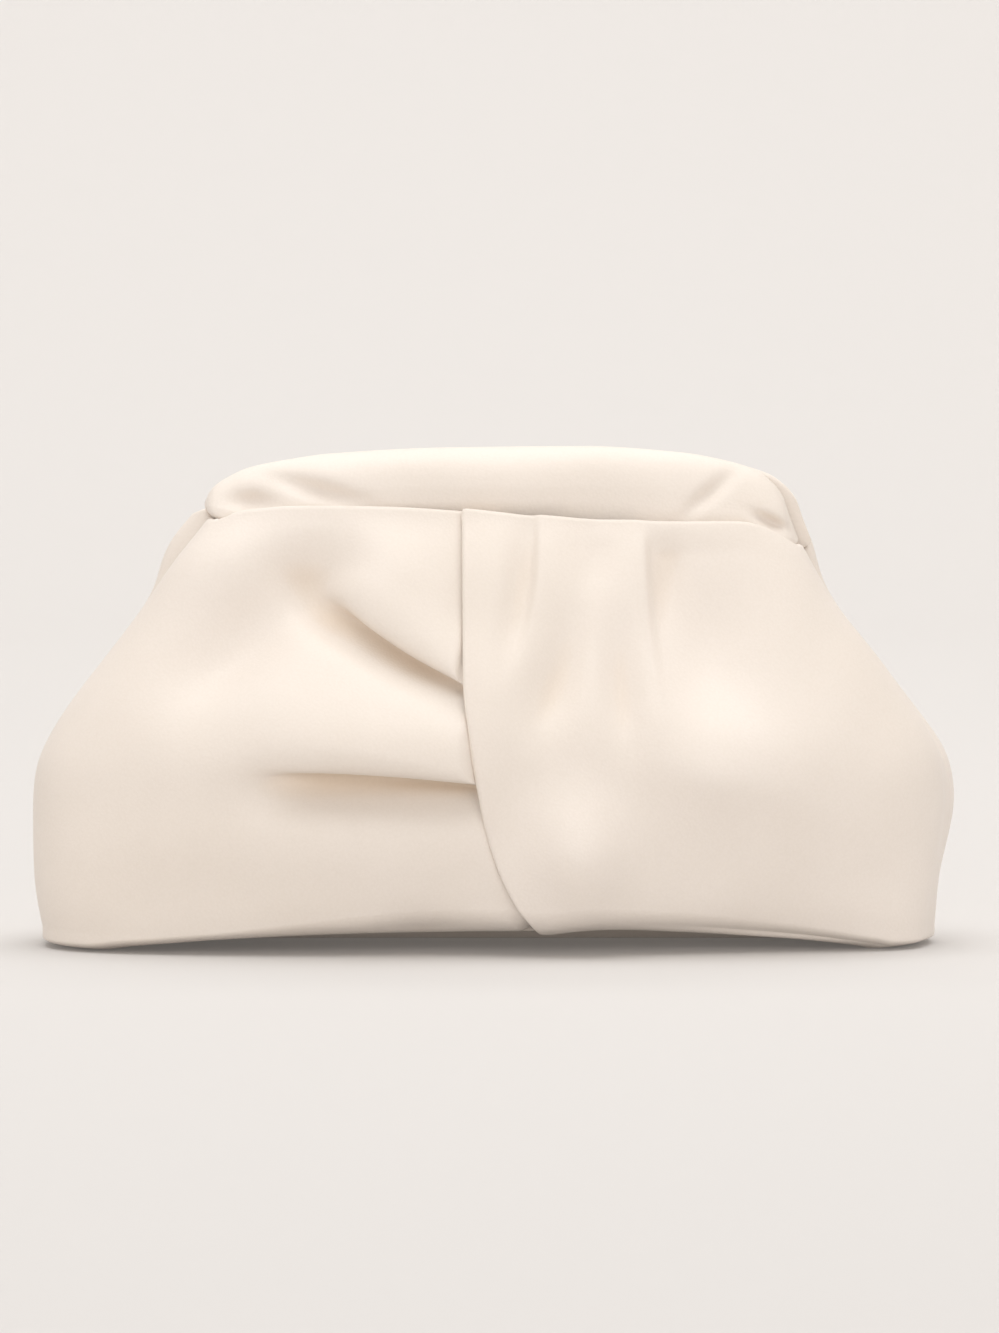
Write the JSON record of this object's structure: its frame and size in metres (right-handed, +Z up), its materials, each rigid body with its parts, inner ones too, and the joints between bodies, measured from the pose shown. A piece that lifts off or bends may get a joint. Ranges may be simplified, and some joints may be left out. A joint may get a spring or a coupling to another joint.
{
  "type": "clutch bag",
  "caption": "Soft cream leather frame-top clutch with a gathered, pleated wrap front, standing closed; holds small personal things.",
  "frame": {"origin": "middle of the footprint, on the surface the bag stands on", "axes": "+Z up, the pleated front faces -Y, +X to the right of someone looking at the front"},
  "size_m": [0.3015, 0.1137, 0.1627],
  "materials": {
    "cream_leather": "smooth satin, fine grain"
  },
  "bodies": {
    "root": {"front_left_panel": "cream_leather", "front_right_panel": "cream_leather", "back_panel": "cream_leather", "base_panel": "cream_leather", "front_frame_roll": "cream_leather", "back_frame_roll": "cream_leather"}
  },
  "joints": []
}
